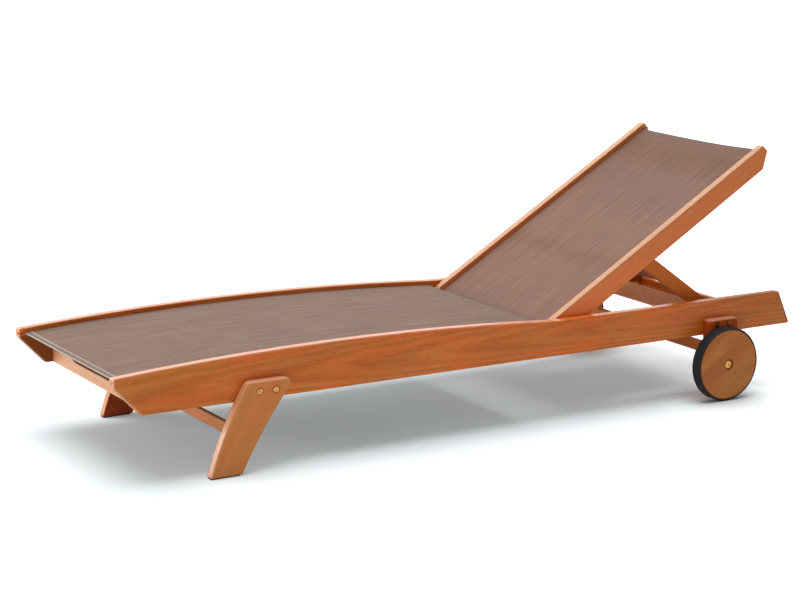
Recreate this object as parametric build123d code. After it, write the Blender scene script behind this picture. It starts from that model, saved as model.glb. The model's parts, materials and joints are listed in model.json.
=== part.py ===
from build123d import *
import os
from math import asin, atan2, cos, degrees, radians, sin, sqrt, tan

# Reclining sun lounger in millimetres: foot end at -X, head end at +X, floor at Z = 0.
# The left side is at -Y. Backrest parts are drawn flat about their hinge and then turned up.

# side rails
rail_length = 2000.0
frame_width = 603.0
rail_thick = 24.5
rail_bottom = 173.0
rail_height = 92.0
crown_from_nose = 600.0
crown_rise = 24.0
nose_lift = 2.0
nose_face = 23.0
nose_rake = 68.0
tail_rake = 39.5
edge_ease = 2.5
rail_corner = 4.0

# groove that holds a sling edge, and the rod in that edge
groove_drop = 12.5
mouth_high = 2.4
mouth_deep = 6.0
groove_high = 6.6
rod_radius = 3.0
sling_thick = 1.6
sling_front_inset = 17.0
sling_rear_gap = 54.0
seat_sag = 1.5
back_sag = 2.0

# cross rails under the seat
cross_thick = 24.0
cross_high = 28.0
cross_haunch = 27.0
haunch_flat = 75.0
haunch_long = 90.0
foot_cross_inset = 99.0
hinge_cross_gap = 76.0
tail_cross_inset = 60.0
tail_cross_high = 31.0
tenon_long = 12.0
tenon_thick = 12.0
thin_tenon = 8.0
tenon_high = 22.0
haunch_round = 12.0
joint_gap = 0.1

# front legs and their stretcher
plate_thick = 24.0
leg_foot_inset = 229.0
leg_foot_wide = 82.3
leg_top_inset = 329.0
leg_top_wide = 129.8
leg_sag = 8.3
plate_rise = 50.0
leg_front_corner = 22.0
leg_rear_corner = 14.0
leg_bolt_from_nose = 360.0
leg_bolt_pitch = 43.0
leg_bolt_up = 25.0
glide_thick = 3.0
glide_inset = 3.0
front_bar_inset = 308.0
front_bar_z = 100.5
bar_high = 31.0
bar_thick = 14.0
bar_ease = 5.0

# wheel brackets, their stretcher and the wheels
wheel_radius = 99.5
tyre_thick = 6.0
wheel_wide = 34.0
wheel_gap = 2.5
axle_from_tail = 256.0
bracket_front_gap = 43.5
bracket_wide = 99.0
bracket_top_drop = 6.5
bracket_corner = 11.0
bracket_round = 34.0
bracket_shoulder = 20.0
bracket_waist = 14.0
bracket_end = 22.0
bracket_bolt_gap = 15.5
bracket_bolt_pitch = 43.0
bracket_bolt_up = 30.0
rear_bar_z = 128.5
rear_bar_gap = 5.0
axle_radius = 6.0
hub_recess_radius = 15.0
hub_recess = 6.0
wheel_washer_radius = 15.0
bush_wall = 2.5
run_gap = 0.05

# furniture bolts and sleeve nuts
bolt_radius = 4.0
bolt_head_radius = 7.5
bolt_head_thick = 3.5
bolt_sink = 2.0
bolt_sink_gap = 2.3
socket_radius = 3.0
sleeve_radius = 5.5
sleeve_long = 16.0
flange_radius = 8.5
flange_thick = 1.8

# backrest
recline = 30.8
hinge_from_tail = 752.0
stile_deep = 56.0
stile_thick = 24.0
hinge_gap = 4.0
stile_tail = 34.0
stile_tip = 786.6
stile_nose = 791.6
stile_nose_drop = 20.3
stile_under = 755.3
tail_corner = 12.0
hinge_radius = 5.0
hinge_head_radius = 9.0
hinge_head_thick = 4.0
hinge_washer_radius = 13.0
insert_deep = 17.0
back_cross_thick = 22.0
back_lower_s = 242.0
back_top_s = 712.0
back_cross_bottom = 2.0
back_tenon_up = 14.0
back_cross_mid = 24.0
back_cross_end = 35.0
back_haunch_flat = 40.0
back_haunch_long = 90.0
back_sling_low = -22.0
back_sling_top = 774.0

# prop under the backrest and the racks for its foot
prop_s = 319.0
prop_p = -8.0
prop_long = 337.0
prop_thick = 22.0
prop_gap = 2.0
prop_top_radius = 19.0
prop_foot_radius = 17.0
foot_rod_radius = 6.0
foot_board_wide = 44.0
foot_board_thick = 22.0
rack_thick = 22.0
rack_high = 19.3
rack_end = 36.0
rack_tail_gap = 21.0
notch_deep = 7.5
notch_lean = 14.0
rod_lift = 0.8
rest_angles = (15.8, 30.8, 41.0, 49.5, 56.5)

# plugs and small screws
plug_radius = 5.0
plug_deep = 6.0
screw_radius = 2.0
screw_head_radius = 4.0
screw_long = 36.0
screw_inset = 15.0
screw_offset = 25.0
nose_plug_inset = 37.0
crown_plug_gap = 129.0
tail_plug_inset = 57.0
tail_plug_drop = 26.0
stile_plug_s = (242.0, 496.0)

# places that follow from the sizes above
half = rail_length / 2
crown_x = -half + crown_from_nose
hinge_x = half - hinge_from_tail
sling_rear_x = hinge_x - sling_rear_gap
foot_cross_x = -half + foot_cross_inset
hinge_cross_x = hinge_x - hinge_cross_gap
seat_cross_x = (foot_cross_x + hinge_cross_x) / 2
tail_cross_x = half - tail_cross_inset
leg_foot_front = -half + leg_foot_inset
leg_top_front = -half + leg_top_inset
leg_bolt_front = -half + leg_bolt_from_nose
front_bar_x = -half + front_bar_inset
axle_x = half - axle_from_tail
rear_bar_x = axle_x - rear_bar_gap
bracket_front = axle_x - bracket_front_gap
bracket_bolt_front = axle_x - bracket_bolt_gap
rail_plug_x = (-half + nose_plug_inset, crown_x + crown_plug_gap)
tail_plug_x = half - tail_plug_inset
rail_top = rail_bottom + rail_height
crown_z = rail_top + crown_rise
nose_top = rail_top + nose_lift
outer = frame_width / 2
inner = outer - rail_thick
plate_out = outer + plate_thick
plate_top = rail_bottom + plate_rise
crown_fall = crown_z - nose_top
crown_radius = ((crown_x + half) ** 2 + crown_fall ** 2) / (2 * crown_fall)
break_x = crown_x + sqrt(2 * crown_radius * crown_rise - crown_rise ** 2)
sling_front_x = -half + sling_front_inset
stile_out = inner - hinge_gap
stile_in = stile_out - stile_thick
hinge_z = rail_top - stile_deep / 2
prop_out = stile_in - prop_gap
prop_in = prop_out - prop_thick
rack_tip = rail_bottom + rack_high
foot_z = rack_tip + foot_rod_radius + rod_lift
axle_z = wheel_radius
wheel_in = plate_out + wheel_gap
wheel_out = wheel_in + wheel_wide

os.makedirs("parts", exist_ok=True)


def save(shape, node):
    export_step(shape, "parts/" + node + ".step")


def crown(x, drop=0.0):
    # height of the rail's crowned edge at x, or of a line at a drop below it
    r = crown_radius - drop
    return crown_z - crown_radius + sqrt(r * r - (x - crown_x) ** 2)


def slab(outline, y_low, y_high):
    # a board: an outline in X and Z with a thickness along Y
    base = Plane((0, y_low, 0), x_dir=(1, 0, 0), z_dir=(0, -1, 0))
    return extrude(base * outline, amount=y_low - y_high)


def eased(board, radius, axis=Axis.Y):
    # rounds the long edges of both wide faces
    faces = board.faces().sort_by(axis)
    return fillet(faces[0].edges() + faces[-1].edges(), radius)


def pin(radius, x, z, y_low, y_high):
    # a round bar along Y
    turned = Rot(90, 0, 0) * Cylinder(radius, y_high - y_low)
    return Pos(x, (y_low + y_high) / 2, z) * turned


def block(x_low, x_high, y_low, y_high, z_low, z_high):
    size = Box(x_high - x_low, y_high - y_low, z_high - z_low)
    return Pos((x_low + x_high) / 2, (y_low + y_high) / 2, (z_low + z_high) / 2) * size


def rounded(points, corners):
    # a polygon with each corner rounded by its own radius
    face = make_face(Polyline(*points, close=True))
    for point, radius in zip(points, corners):
        near = face.vertices().sort_by_distance((point[0], point[1], 0))[0]
        face = fillet(near, radius)
    return face


def other(shape):
    # the same piece on the right side
    return mirror(shape, about=Plane.XZ)


def pair(shape):
    return Compound(children=[shape, other(shape)])


def group(shapes):
    return Compound(children=list(shapes))


def on_back(shape):
    return Pos(hinge_x, 0, hinge_z) * Rot(0, -recline, 0) * shape


def back_point(s, p, angle):
    a = radians(angle)
    return hinge_x + s * cos(a) - p * sin(a), hinge_z + s * sin(a) + p * cos(a)


def prop_state(angle):
    # prop slope and foot place when the rod lies at its working height
    px, pz = back_point(prop_s, prop_p, angle)
    slope = asin((pz - foot_z) / prop_long)
    return px, pz, slope, px + prop_long * cos(slope)


pivot_x, pivot_z, prop_slope, foot_x = prop_state(recline)
rack_front = prop_state(max(rest_angles))[3] - rack_end
rack_rear = tail_cross_x - bar_thick / 2 - rack_tail_gap


def on_prop(shape):
    return Pos(pivot_x, 0, pivot_z) * Rot(0, degrees(prop_slope), 0) * shape


def crown_band(x_low, x_high, drop, high):
    # a strip that follows the crowned edge
    middle = (x_low + x_high) / 2
    up = drop - high / 2
    down = drop + high / 2
    top = [(x, crown(x, up)) for x in (x_low, middle, x_high)]
    low = [(x, crown(x, down)) for x in (x_low, middle, x_high)]
    sides = [
        ThreePointArc(*top),
        Line(top[2], low[2]),
        ThreePointArc(low[2], low[1], low[0]),
        Line(low[0], top[0]),
    ]
    return make_face(sides)


def rail_outline():
    nose = (-half, nose_top)
    split = (break_x, rail_top)
    tail = (half - tail_rake, rail_top)
    reach = half + rail_corner * (1 / tan(atan2(rail_height, tail_rake) / 2) - 1)
    tail_low = (reach, rail_bottom)
    nose_low = (-half + nose_rake, rail_bottom)
    nose_mid = (-half, nose_top - nose_face)
    sides = [
        ThreePointArc(nose, (crown_x, crown_z), split),
        Line(split, tail),
        Line(tail, tail_low),
        Line(tail_low, nose_low),
        Line(nose_low, nose_mid),
        Line(nose_mid, nose),
    ]
    face = make_face(sides)
    for point in (nose, tail, tail_low, nose_low, nose_mid):
        near = face.vertices().sort_by_distance((point[0], point[1], 0))[0]
        face = fillet(near, rail_corner)
    return face


def tenon(x_mid, z_mid, y_in, gap=0.0, thick=tenon_thick):
    # end tenon of a bar on the left side; with a gap it is the mortise for it
    long = tenon_long + 2 * gap
    return block(
        x_mid - thick / 2 - gap,
        x_mid + thick / 2 + gap,
        -y_in - long,
        -y_in + 1.0,
        z_mid - tenon_high / 2 - gap,
        z_mid + tenon_high / 2 + gap,
    )


def bolt_spots():
    z_leg = rail_bottom + leg_bolt_up
    z_bracket = rail_bottom + bracket_bolt_up
    legs = [(leg_bolt_front, z_leg), (leg_bolt_front + leg_bolt_pitch, z_leg)]
    brackets = [
        (bracket_bolt_front, z_bracket),
        (bracket_bolt_front + bracket_bolt_pitch, z_bracket),
    ]
    return legs, brackets


leg_spots, bracket_spots = bolt_spots()
cross_mid = rail_bottom + cross_high / 2
cross_places = (foot_cross_x, seat_cross_x, hinge_cross_x)
tail_cross_mid = rail_bottom + tail_cross_high / 2
plug_spots = [(x, crown(x, groove_drop)) for x in rail_plug_x]
tail_plug = (tail_plug_x, rail_top - tail_plug_drop)
rack_screw_x = [
    rack_front + screw_inset,
    (rack_front + rack_rear) / 2 + screw_offset,
    rack_rear - screw_inset,
]
rack_screw_z = rail_bottom + (rack_high - notch_deep) / 2


def side_rail():
    rail = eased(slab(rail_outline(), -outer, -inner), edge_ease)
    groove_end = sling_rear_x + 6
    mouth = crown_band(-half - 5, groove_end, groove_drop, mouth_high)
    hollow = crown_band(-half - 5, groove_end, groove_drop, groove_high)
    rail -= slab(mouth, -inner - mouth_deep - 0.5, -inner + 1)
    rail -= slab(hollow, -inner - mouth_deep - groove_high, -inner - mouth_deep)
    for x in cross_places:
        rail -= tenon(x, cross_mid, inner, joint_gap)
    rail -= tenon(tail_cross_x, tail_cross_mid, inner, joint_gap, thin_tenon)
    for x, z in leg_spots + bracket_spots:
        rail -= pin(bolt_radius + joint_gap, x, z, -outer - 1, -inner + 1)
        rail -= pin(sleeve_radius + joint_gap, x, z, -inner - sleeve_long - 0.5, -inner + 1)
    rail -= pin(hinge_radius + 1.1, hinge_x, hinge_z, -inner - insert_deep - 0.5, -inner + 1)
    for x, z in plug_spots + [tail_plug]:
        rail -= pin(plug_radius + joint_gap, x, z, -outer - 1, -outer + plug_deep + 0.2)
    for x, z in plug_spots:
        rail -= pin(screw_radius + joint_gap, x, z, -outer, -inner - mouth_deep - 1)
    for x in rack_screw_x:
        rail -= pin(screw_radius + joint_gap, x, rack_screw_z, -inner - screw_long, -inner + 1)
    return rail


def cross_outline(y_end, low, mid, end, flat, run):
    # outline in Y and Z: low in the middle, raised towards both ends
    rise = end - mid
    start = y_end - flat - run
    radius = (run * run + rise * rise) / (2 * rise)
    half_turn = asin(run / radius) / 2
    via = (start + radius * sin(half_turn), mid + radius * (1 - cos(half_turn)))
    knee = (start + run, end)
    sides = [
        Line((-y_end, low), (y_end, low)),
        Line((y_end, low), (y_end, end)),
        Line((y_end, end), knee),
        ThreePointArc(knee, via, (start, mid)),
        Line((start, mid), (-start, mid)),
        ThreePointArc((-start, mid), (-via[0], via[1]), (-knee[0], end)),
        Line((-knee[0], end), (-y_end, end)),
        Line((-y_end, end), (-y_end, low)),
    ]
    face = make_face(sides)
    for side in (-1, 1):
        near = face.vertices().sort_by_distance((side * knee[0], end, 0))[0]
        face = fillet(near, haunch_round)
    return face


def cross_bar(outline, x_mid, thick, y_end, z_tenon, ease, stub_thick=tenon_thick):
    base = Plane((x_mid - thick / 2, 0, 0), x_dir=(0, 1, 0), z_dir=(1, 0, 0))
    bar = eased(extrude(base * outline, amount=thick), ease, Axis.X)
    stub = tenon(x_mid, z_tenon, y_end, 0.0, stub_thick)
    return bar + stub + other(stub)


def seat_cross(x_mid):
    top = rail_bottom + cross_high
    shape = cross_outline(inner, rail_bottom, top, top + cross_haunch, haunch_flat, haunch_long)
    return cross_bar(shape, x_mid, cross_thick, inner, cross_mid, 2.0)


def thin_bar(x_mid, z_mid, high, y_end):
    # a thin board with well rounded edges
    base = Plane((x_mid, 0, z_mid), x_dir=(1, 0, 0), z_dir=(0, -1, 0))
    section = fillet(Rectangle(bar_thick, high).vertices(), bar_ease)
    bar = extrude(base * section, amount=y_end, both=True)
    stub = tenon(x_mid, z_mid, y_end, 0.0, thin_tenon)
    return bar + stub + other(stub)


def tail_cross():
    return thin_bar(tail_cross_x, tail_cross_mid, tail_cross_high, inner)


def stretcher(x_mid, z_mid):
    return thin_bar(x_mid, z_mid, bar_high, outer)


def bow(start, end, sag):
    # an arc between two points that bulges towards the foot end by sag
    dx = end[0] - start[0]
    dz = end[1] - start[1]
    long = sqrt(dx * dx + dz * dz)
    x_mid = (start[0] + end[0]) / 2 - sag * dz / long
    z_mid = (start[1] + end[1]) / 2 + sag * dx / long
    return ThreePointArc(start, (x_mid, z_mid), end)


def leg_outline():
    # a sabre leg: steep at the floor, leaning back towards the top
    low = glide_thick
    foot_front = (leg_foot_front + 0.3 * low, low)
    foot_rear = (leg_foot_front + leg_foot_wide + 0.5 * low, low)
    top_front = (leg_top_front, plate_top)
    top_rear = (leg_top_front + leg_top_wide, plate_top)
    sides = [
        bow(foot_front, top_front, leg_sag * 0.88),
        Line(top_front, top_rear),
        bow(foot_rear, top_rear, leg_sag),
        Line(foot_rear, foot_front),
    ]
    face = make_face(sides)
    top = [(top_front, leg_front_corner), (top_rear, leg_rear_corner)]
    foot = [(foot_front, 3.0), (foot_rear, 3.0)]
    for point, radius in top + foot:
        near = face.vertices().sort_by_distance((point[0], point[1], 0))[0]
        face = fillet(near, radius)
    return face


def bolted(plate, spots):
    for x, z in spots:
        plate -= pin(bolt_radius + joint_gap, x, z, -plate_out - 1, -outer + 1)
        plate -= pin(bolt_head_radius + bolt_sink_gap, x, z, -plate_out - 1, -plate_out + bolt_sink)
    return plate


def front_leg():
    leg = eased(slab(leg_outline(), -plate_out, -outer), edge_ease)
    leg -= tenon(front_bar_x, front_bar_z, outer, joint_gap, thin_tenon)
    return bolted(leg, leg_spots)


def glide():
    x_low = leg_foot_front + glide_inset
    x_high = leg_foot_front + leg_foot_wide - glide_inset
    pad = block(x_low, x_high, -plate_out + glide_inset, -outer - glide_inset, 0, glide_thick)
    return fillet(pad.edges().filter_by(Axis.Z), 2.0)


def wheel_bracket():
    rear = bracket_front + bracket_wide
    high = plate_top - bracket_top_drop
    top = [(bracket_front, high), (rear, high)]
    shoulder = rail_bottom - 2
    points = [
        top[0],
        top[1],
        (rear, shoulder),
        (axle_x + bracket_round, axle_z),
        (axle_x + bracket_round * 0.55, axle_z - bracket_round),
        (axle_x - bracket_round * 0.55, axle_z - bracket_round),
        (axle_x - bracket_round, axle_z),
        (bracket_front, shoulder),
    ]
    near_end = [bracket_shoulder, bracket_waist, bracket_end]
    radii = [bracket_corner, bracket_corner] + near_end + near_end[::-1]
    plate = eased(slab(rounded(points, radii), -plate_out, -outer), edge_ease)
    plate -= tenon(rear_bar_x, rear_bar_z, outer, joint_gap, thin_tenon)
    insert = axle_radius + 1.0
    plate -= pin(insert + joint_gap, axle_x, axle_z, -plate_out - 1, -plate_out + insert_deep + 3.5)
    return bolted(plate, bracket_spots)


def turned(points, x, z):
    # a turned piece on the left: points are radius and Y, its axis along Y through x and z
    face = make_face(Polyline(*points, close=True))
    return Pos(x, 0, z) * revolve(face, axis=Axis.Y)


def socket(x, z, y_out, deep):
    # hex socket sunk from the outer end of a bolt head
    base = Plane((x, y_out, z), x_dir=(1, 0, 0), z_dir=(0, 1, 0))
    return extrude(base * RegularPolygon(socket_radius, 6), amount=deep)


def bolt(x, z):
    # flat headed furniture bolt through a plate and a rail
    under = -plate_out + bolt_sink
    face = under - bolt_head_thick
    end = -inner - 2.5
    rim = bolt_head_radius
    points = [
        (0, end),
        (bolt_radius, end),
        (bolt_radius, under),
        (rim, under),
        (rim, face + 1.2),
        (rim - 1.6, face),
        (0, face),
    ]
    return turned(points, x, z) - socket(x, z, face, 2.2)


def sleeve_nut(x, z):
    bore = bolt_radius + joint_gap
    points = [
        (bore, -inner - sleeve_long),
        (sleeve_radius, -inner - sleeve_long),
        (sleeve_radius, -inner),
        (flange_radius, -inner),
        (flange_radius, -inner + flange_thick - 0.6),
        (flange_radius - 0.8, -inner + flange_thick),
        (bore, -inner + flange_thick),
    ]
    return turned(points, x, z)


def insert_ring(radius, bore, x, z, y_low, y_high):
    return turned([(bore, y_low), (radius, y_low), (radius, y_high), (bore, y_high)], x, z)


def axle_bolt():
    seat = -wheel_out + hub_recess - 0.3
    face = seat - 4.5
    stop = -plate_out - 0.05
    end = -plate_out + insert_deep + 2
    thread = axle_radius - 1.0
    head = hub_recess_radius - 4.0
    points = [
        (0, end),
        (thread, end),
        (thread, stop),
        (axle_radius, stop),
        (axle_radius, seat),
        (head, seat),
        (head, face + 1.5),
        (head - 2.0, face),
        (0, face),
    ]
    return turned(points, axle_x, axle_z) - socket(axle_x, axle_z, face, 2.5)


def wheel_disc():
    rim = wheel_radius - tyre_thick - joint_gap / 2
    bore = axle_radius + run_gap + bush_wall + joint_gap / 2
    points = [
        (bore, -wheel_in),
        (rim - 1.5, -wheel_in),
        (rim, -wheel_in - 1.5),
        (rim, -wheel_out + 1.5),
        (rim - 1.5, -wheel_out),
        (hub_recess_radius, -wheel_out),
        (hub_recess_radius, -wheel_out + hub_recess),
        (bore, -wheel_out + hub_recess),
    ]
    return turned(points, axle_x, axle_z)


def tyre():
    low = wheel_radius - tyre_thick
    points = [
        (low, -wheel_in - 1.0),
        (wheel_radius - 2.5, -wheel_in - 1.0),
        (wheel_radius, -wheel_in - 4.5),
        (wheel_radius, -wheel_out + 4.5),
        (wheel_radius - 2.5, -wheel_out + 1.0),
        (low, -wheel_out + 1.0),
    ]
    return turned(points, axle_x, axle_z)


def stile_outline():
    top = stile_deep / 2
    points = [
        (-stile_tail, top),
        (stile_tip, top),
        (stile_nose, top - stile_nose_drop),
        (stile_under, -top),
        (-stile_tail, -top),
    ]
    return rounded(points, [tail_corner, 4.0, 4.0, 4.0, tail_corner])


stile_groove_p = stile_deep / 2 - groove_drop
back_low = -stile_deep / 2 + back_cross_bottom
back_tenon_p = back_low + back_tenon_up


def back_stile():
    stile = eased(slab(stile_outline(), -stile_out, -stile_in), edge_ease)
    low = back_sling_low - 3
    high = stile_nose + 5
    edge = -stile_in - mouth_deep
    p = stile_groove_p
    stile -= block(low, high, edge - 0.5, -stile_in + 1, p - mouth_high / 2, p + mouth_high / 2)
    stile -= block(low, high, edge - groove_high, edge, p - groove_high / 2, p + groove_high / 2)
    for s in (back_lower_s, back_top_s):
        stile -= tenon(s, back_tenon_p, stile_in, joint_gap)
    bush = hinge_radius + run_gap + bush_wall + joint_gap / 2
    stile -= pin(bush, 0, 0, -stile_out - 1, -stile_in + 1)
    stile -= pin(axle_radius, prop_s, prop_p, -stile_in - insert_deep - 0.5, -stile_in + 1)
    for s in stile_plug_s:
        stile -= pin(plug_radius + joint_gap, s, p, -stile_out - 1, -stile_out + plug_deep + 0.2)
        stile -= pin(screw_radius + joint_gap, s, p, -stile_out, edge - 1)
    return stile


def back_cross(s):
    shape = cross_outline(
        stile_in,
        back_low,
        back_low + back_cross_mid,
        back_low + back_cross_end,
        back_haunch_flat,
        back_haunch_long,
    )
    return cross_bar(shape, s, back_cross_thick, stile_in, back_tenon_p, 2.0)


def hinge_bolt():
    under = -stile_in + 0.3
    face = under + hinge_head_thick
    stop = -inner + 0.05
    end = -inner - insert_deep + 2
    rim = hinge_head_radius
    thread = hinge_radius - 1.0
    points = [
        (0, end),
        (thread, end),
        (thread, stop),
        (hinge_radius, stop),
        (hinge_radius, under),
        (rim, under),
        (rim, face - 1.2),
        (rim - 1.6, face),
        (0, face),
    ]
    return turned(points, hinge_x, hinge_z)


def prop_bolt():
    under = -prop_in + 0.3
    face = under + 3.5
    stop = -stile_in + 0.05
    end = -stile_in - insert_deep + 2
    shank = bolt_radius + 1.0
    points = [
        (0, end),
        (bolt_radius, end),
        (bolt_radius, stop),
        (shank, stop),
        (shank, under),
        (bolt_head_radius, under),
        (bolt_head_radius, face - 1.2),
        (bolt_head_radius - 1.6, face),
        (0, face),
    ]
    return turned(points, prop_s, prop_p)


def prop_arm():
    shape = make_hull(
        [
            Edge.make_circle(prop_top_radius),
            Pos(prop_long, 0) * Edge.make_circle(prop_foot_radius),
        ]
    )
    arm = eased(slab(shape, -prop_out, -prop_in), 2.0)
    arm -= pin(bolt_radius + 1.0 + run_gap, 0, 0, -prop_out - 1, -prop_in + 1)
    arm -= pin(foot_rod_radius + joint_gap, prop_long, 0, -prop_out - 1, -prop_in + 1)
    return arm


def foot_board():
    x_low = prop_long - foot_board_thick / 2
    x_high = prop_long + foot_board_thick / 2
    board = block(x_low, x_high, -prop_in, prop_in, -foot_board_wide / 2, foot_board_wide / 2)
    board = fillet(board.edges().filter_by(Axis.Y), 3.0)
    return board - pin(foot_rod_radius + joint_gap, prop_long, 0, -prop_in - 1, prop_in + 1)


def foot_rod():
    reach = inner - 5
    rod = pin(foot_rod_radius, prop_long, 0, -reach, reach)
    return chamfer(rod.edges().filter_by(GeomType.CIRCLE), 1.0)


def rack_outline():
    # saw teeth: a steep wall on the head side stops the rod, a ramp on the foot side lets it climb
    floor = rack_tip - notch_deep
    r = foot_rod_radius
    face = make_face(
        Polyline(
            (rack_front, rail_bottom),
            (rack_rear, rail_bottom),
            (rack_rear, rack_tip),
            (rack_front, rack_tip),
            close=True,
        )
    )
    for angle in rest_angles:
        x = prop_state(angle)[3]
        notch = Polyline(
            (x + r + 1.5, rack_tip + 1),
            (x + r + 1.0, floor),
            (x - r * 0.4, floor),
            (x - r - notch_lean, rack_tip + 1),
            close=True,
        )
        face -= make_face(notch)
    return face


def prop_rack():
    rack = slab(rack_outline(), -inner, -inner + rack_thick)
    for x in rack_screw_x:
        face = -inner + rack_thick
        rack -= pin(screw_radius + joint_gap, x, rack_screw_z, -inner - 1, face + 1)
        rack -= pin(screw_head_radius + joint_gap, x, rack_screw_z, face - 3, face + 1)
    return rack


def rack_screw(x):
    face = -inner + rack_thick - 0.4
    tip = face - screw_long
    points = [
        (0, tip),
        (screw_radius, tip + 5),
        (screw_radius, face - 2.5),
        (screw_head_radius, face - 0.5),
        (screw_head_radius, face),
        (0, face),
    ]
    return turned(points, x, rack_screw_z)


def sling_section(span, sag):
    # a sheet across the lounger: level in the groove mouths, hanging slightly between them
    edge = span + mouth_deep + 0.2
    t = sling_thick / 2
    sides = [
        Line((-edge, t), (-span, t)),
        ThreePointArc((-span, t), (0, t - sag), (span, t)),
        Line((span, t), (edge, t)),
        Line((edge, t), (edge, -t)),
        Line((edge, -t), (span, -t)),
        ThreePointArc((span, -t), (0, -t - sag), (-span, -t)),
        Line((-span, -t), (-edge, -t)),
        Line((-edge, -t), (-edge, t)),
    ]
    return make_face(sides)


def seat_sling():
    base = Plane((crown_x, 0, crown_z - groove_drop), x_dir=(0, 1, 0), z_dir=(1, 0, 0))
    middle = Axis((crown_x, 0, crown_z - crown_radius), (0, 1, 0))
    radius = crown_radius - groove_drop
    front = degrees(asin((sling_front_x - crown_x) / radius))
    rear = degrees(asin((sling_rear_x - crown_x) / radius))
    section = (base * sling_section(inner, seat_sag)).rotate(middle, front)
    return revolve(section, axis=middle, revolution_arc=rear - front)


def seat_rod():
    middle = (sling_front_x + sling_rear_x) / 2
    y = -inner - mouth_deep - groove_high / 2
    spots = [(x, y, crown(x, groove_drop)) for x in (sling_front_x, middle, sling_rear_x)]
    path = ThreePointArc(*spots)
    return sweep(Plane(path @ 0, z_dir=path % 0) * Circle(rod_radius), path)


def back_sling():
    base = Plane((back_sling_low, 0, stile_groove_p), x_dir=(0, 1, 0), z_dir=(1, 0, 0))
    return extrude(base * sling_section(stile_in, back_sag), amount=back_sling_top - back_sling_low)


def back_rod():
    y = -stile_in - mouth_deep - groove_high / 2
    long = back_sling_top - back_sling_low
    bar = Rot(0, 90, 0) * Cylinder(rod_radius, long)
    return Pos((back_sling_top + back_sling_low) / 2, y, stile_groove_p) * bar


def lock_screw(x, z, y_out, y_edge):
    # holds a sling rod in its groove, under a plug
    end = y_edge - mouth_deep - groove_high / 2 - rod_radius - 0.1
    return pin(screw_radius, x, z, y_out + plug_deep + 0.3, end)


# frame
rail_left = side_rail()
save(rail_left, "side_rail_left")
save(other(rail_left), "side_rail_right")
save(seat_cross(foot_cross_x), "foot_cross_rail")
save(seat_cross(seat_cross_x), "seat_cross_rail")
save(seat_cross(hinge_cross_x), "hinge_cross_rail")
save(tail_cross(), "tail_cross_rail")
leg_left = front_leg()
save(leg_left, "front_leg_left")
save(other(leg_left), "front_leg_right")
save(pair(glide()), "leg_glides")
save(stretcher(front_bar_x, front_bar_z), "front_stretcher")
bracket_left = wheel_bracket()
save(bracket_left, "wheel_bracket_left")
save(other(bracket_left), "wheel_bracket_right")
save(stretcher(rear_bar_x, rear_bar_z), "rear_stretcher")

leg_bolts = [bolt(x, z) for x, z in leg_spots]
save(group(leg_bolts + [other(b) for b in leg_bolts]), "leg_bolts")
bracket_bolts = [bolt(x, z) for x, z in bracket_spots]
save(group(bracket_bolts + [other(b) for b in bracket_bolts]), "bracket_bolts")
nuts = [sleeve_nut(x, z) for x, z in leg_spots + bracket_spots]
save(group(nuts + [other(n) for n in nuts]), "frame_nuts")

rail_plugs = []
for x, z in plug_spots + [tail_plug]:
    plug = pin(plug_radius, x, z, -outer, -outer + plug_deep)
    rail_plugs += [plug, other(plug)]
save(group(rail_plugs), "rail_plugs")
rail_locks = []
for x, z in plug_spots:
    lock = lock_screw(x, z, -outer, -inner)
    rail_locks += [lock, other(lock)]
save(group(rail_locks), "rail_lock_screws")

rack_left = prop_rack()
save(rack_left, "prop_rack_left")
save(other(rack_left), "prop_rack_right")
rack_screws = [rack_screw(x) for x in rack_screw_x]
save(group(rack_screws + [other(s) for s in rack_screws]), "rack_screws")

save(seat_sling(), "seat_sling")
save(pair(seat_rod()), "seat_sling_rods")

hinge_thread = hinge_radius - 1.0 + joint_gap
save(pair(hinge_bolt()), "hinge_bolts")
hinge_sleeve = insert_ring(
    hinge_radius + 1.0, hinge_thread, hinge_x, hinge_z, -inner - insert_deep, -inner
)
save(pair(hinge_sleeve), "hinge_inserts")
hinge_washer = insert_ring(
    hinge_washer_radius, hinge_radius + joint_gap, hinge_x, hinge_z, -inner, -inner + hinge_gap - 0.6
)
save(pair(hinge_washer), "hinge_washers")

save(pair(axle_bolt()), "axle_bolts")
axle_sleeve = insert_ring(
    axle_radius + 1.0,
    axle_radius - 1.0 + joint_gap,
    axle_x,
    axle_z,
    -plate_out,
    -plate_out + insert_deep + 3,
)
save(pair(axle_sleeve), "axle_inserts")
wheel_washer = insert_ring(
    wheel_washer_radius,
    axle_radius + joint_gap,
    axle_x,
    axle_z,
    -plate_out - wheel_gap + 0.6,
    -plate_out,
)
save(pair(wheel_washer), "wheel_washers")

# backrest
stile_left = on_back(back_stile())
save(stile_left, "back_stile_left")
save(other(stile_left), "back_stile_right")
save(on_back(back_cross(back_lower_s)), "back_lower_cross_rail")
save(on_back(back_cross(back_top_s)), "back_top_cross_rail")
save(on_back(back_sling()), "back_sling")
save(pair(on_back(back_rod())), "back_sling_rods")

stile_plugs = []
stile_locks = []
for s in stile_plug_s:
    plug = on_back(pin(plug_radius, s, stile_groove_p, -stile_out, -stile_out + plug_deep))
    lock = on_back(lock_screw(s, stile_groove_p, -stile_out, -stile_in))
    stile_plugs += [plug, other(plug)]
    stile_locks += [lock, other(lock)]
save(group(stile_plugs), "stile_plugs")
save(group(stile_locks), "stile_lock_screws")

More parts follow.
